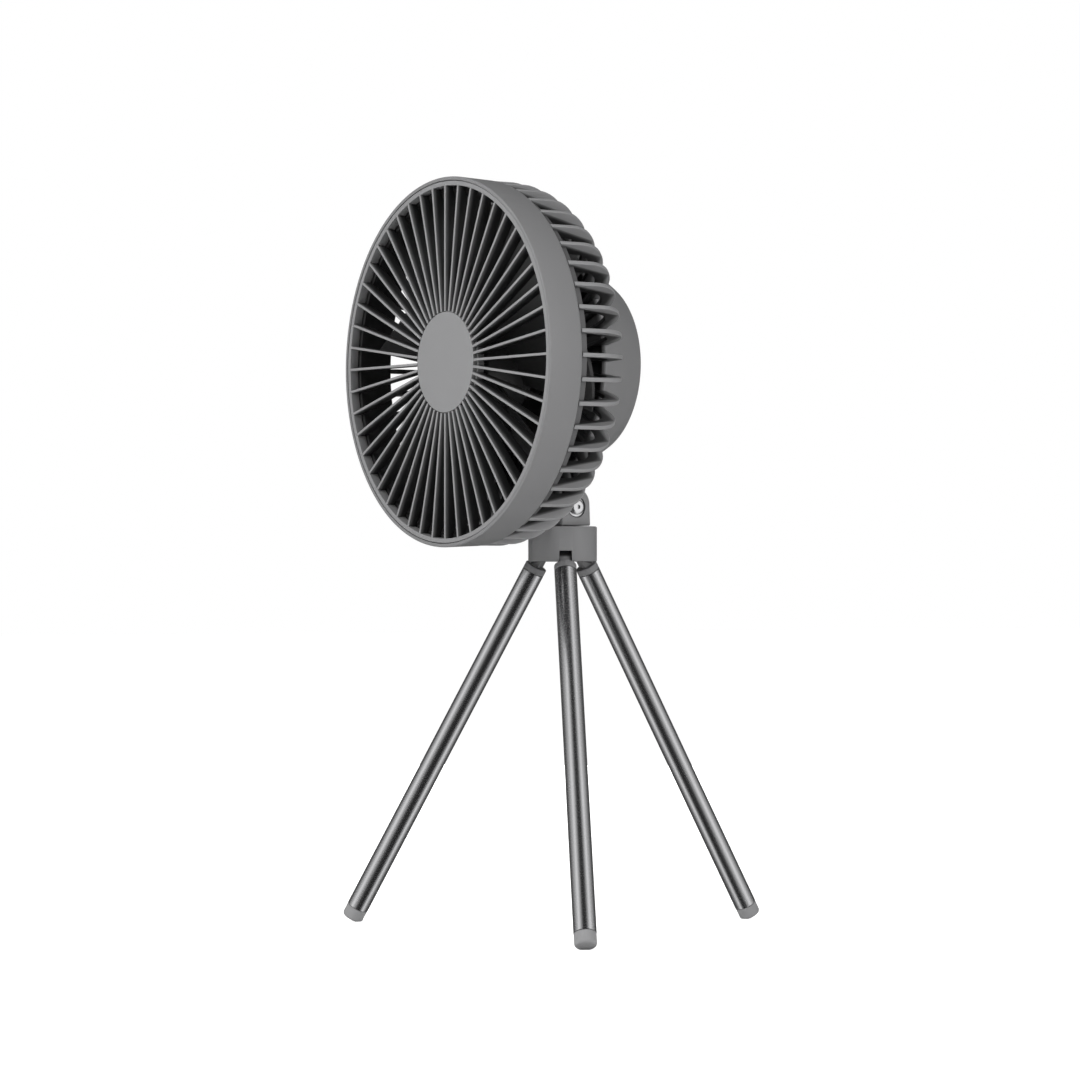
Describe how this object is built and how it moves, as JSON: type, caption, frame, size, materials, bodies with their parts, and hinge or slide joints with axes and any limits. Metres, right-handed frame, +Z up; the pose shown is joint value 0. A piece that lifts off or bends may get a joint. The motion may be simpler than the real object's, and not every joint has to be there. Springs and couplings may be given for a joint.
{
  "type": "tripod fan",
  "caption": "Rechargeable table fan: a round caged fan head tilts on a swivelling neck, carried by a tripod of folding tube legs.",
  "frame": {"origin": "middle of the fan's footprint box, on the surface that it stands on", "axes": "+Z up, the fan blows towards -Y and its controls face +Y, +X to the right of someone facing the fan"},
  "size_m": [0.2122, 0.192, 0.3684],
  "materials": {
    "shell_plastic": "moulded, very fine spark texture, satin",
    "cage_plastic": "moulded, fine texture, satin",
    "cap_plastic": "smooth satin",
    "rotor_plastic": "smooth dark moulding",
    "inner_plastic": "plain dark moulding",
    "magnet": "sintered, dull",
    "gunmetal_tube": "drawn tube, anodised gunmetal, brushed along its length",
    "foot_rubber": "moulded, matt",
    "steel": "bright zinc plated",
    "motor_metal": "machined",
    "windings": "enamelled copper wire on a laminated core",
    "battery_wrap": "shrink sleeve over a drawn can",
    "circuit_board": "solder mask",
    "clear_plastic": "milky light pipe"
  },
  "bodies": {
    "tripod_base": {"tripod_hub": "shell_plastic", "hub_base_plate": "inner_plastic", "base_screw_1": "steel", "base_screw_2": "steel", "base_screw_3": "steel", "hinge_pin_rear": "steel", "hinge_pin_left": "steel", "hinge_pin_right": "steel"},
    "neck": {"neck_fork": "shell_plastic", "tilt_washer": "steel", "tilt_screw": "steel", "tilt_nut": "steel", "friction_washer_left": "inner_plastic", "friction_washer_right": "inner_plastic", "swivel_washer": "steel", "swivel_screw": "steel"},
    "head": {"front_bezel": "shell_plastic", "front_grille": "cage_plastic", "grille_cap": "cap_plastic", "rear_cage": "cage_plastic", "rear_cover": "shell_plastic", "tilt_lug": "shell_plastic", "cover_screw_1": "steel", "cover_screw_2": "steel", "cover_screw_3": "steel", "cover_screw_4": "steel", "motor_mount": "motor_metal", "stator": "windings", "bearing_front": "steel", "bearing_rear": "steel", "motor_screw_1": "steel", "motor_screw_2": "steel", "motor_screw_3": "steel", "cell_tray": "inner_plastic", "battery_cell_1": "battery_wrap", "battery_cell_2": "battery_wrap", "battery_cell_3": "battery_wrap", "control_board": "circuit_board", "board_screw_left": "steel", "board_screw_right": "steel", "power_switch": "inner_plastic", "mode_switch": "inner_plastic", "indicator_lens": "clear_plastic", "usb_socket": "steel"},
    "rotor": {"impeller": "rotor_plastic", "rotor_bell": "motor_metal", "magnet_ring": "magnet", "motor_shaft": "steel", "shaft_clip": "steel"},
    "power_button": {"power_button": "cap_plastic"},
    "mode_button": {"mode_button": "cap_plastic"},
    "leg_rear": {"leg_knuckle_rear": "shell_plastic", "leg_tube_rear": "gunmetal_tube", "leg_foot_rear": "foot_rubber"},
    "leg_left": {"leg_knuckle_left": "shell_plastic", "leg_tube_left": "gunmetal_tube", "leg_foot_left": "foot_rubber"},
    "leg_right": {"leg_knuckle_right": "shell_plastic", "leg_tube_right": "gunmetal_tube", "leg_foot_right": "foot_rubber"}
  },
  "joints": [
    {"name": "neck_swivel", "type": "hinge", "parent": "tripod_base", "child": "neck", "pos_m": [0, -0.02564, 0.19925], "axis": [0, 0, 1], "continuous": true},
    {"name": "head_tilt", "type": "hinge", "parent": "neck", "child": "head", "pos_m": [0, -0.02564, 0.20875], "axis": [1, 0, 0], "range_deg": [-90, 12]},
    {"name": "fan_spin", "type": "hinge", "parent": "head", "child": "rotor", "pos_m": [0, -0.09604, 0.27845], "axis": [0, 1, 0], "continuous": true},
    {"name": "power_button_press", "type": "slide", "parent": "head", "child": "power_button", "axis": [0, -1, 0], "range_m": [0, 0.0008], "stiffness_N_per_m": 500, "springref_m": -0.001},
    {"name": "mode_button_press", "type": "slide", "parent": "head", "child": "mode_button", "axis": [0, -1, 0], "range_m": [0, 0.0008], "stiffness_N_per_m": 500, "springref_m": -0.001},
    {"name": "leg_fold_rear", "type": "hinge", "parent": "tripod_base", "child": "leg_rear", "pos_m": [0, -0.01544, 0.18695], "axis": [-1, 0, 0], "range_deg": [0, 30]},
    {"name": "leg_fold_left", "type": "hinge", "parent": "tripod_base", "child": "leg_left", "pos_m": [-0.00883, -0.03074, 0.18695], "axis": [0.5, -0.866, 0], "range_deg": [0, 30]},
    {"name": "leg_fold_right", "type": "hinge", "parent": "tripod_base", "child": "leg_right", "pos_m": [0.00883, -0.03074, 0.18695], "axis": [0.5, 0.866, 0], "range_deg": [0, 30]}
  ]
}
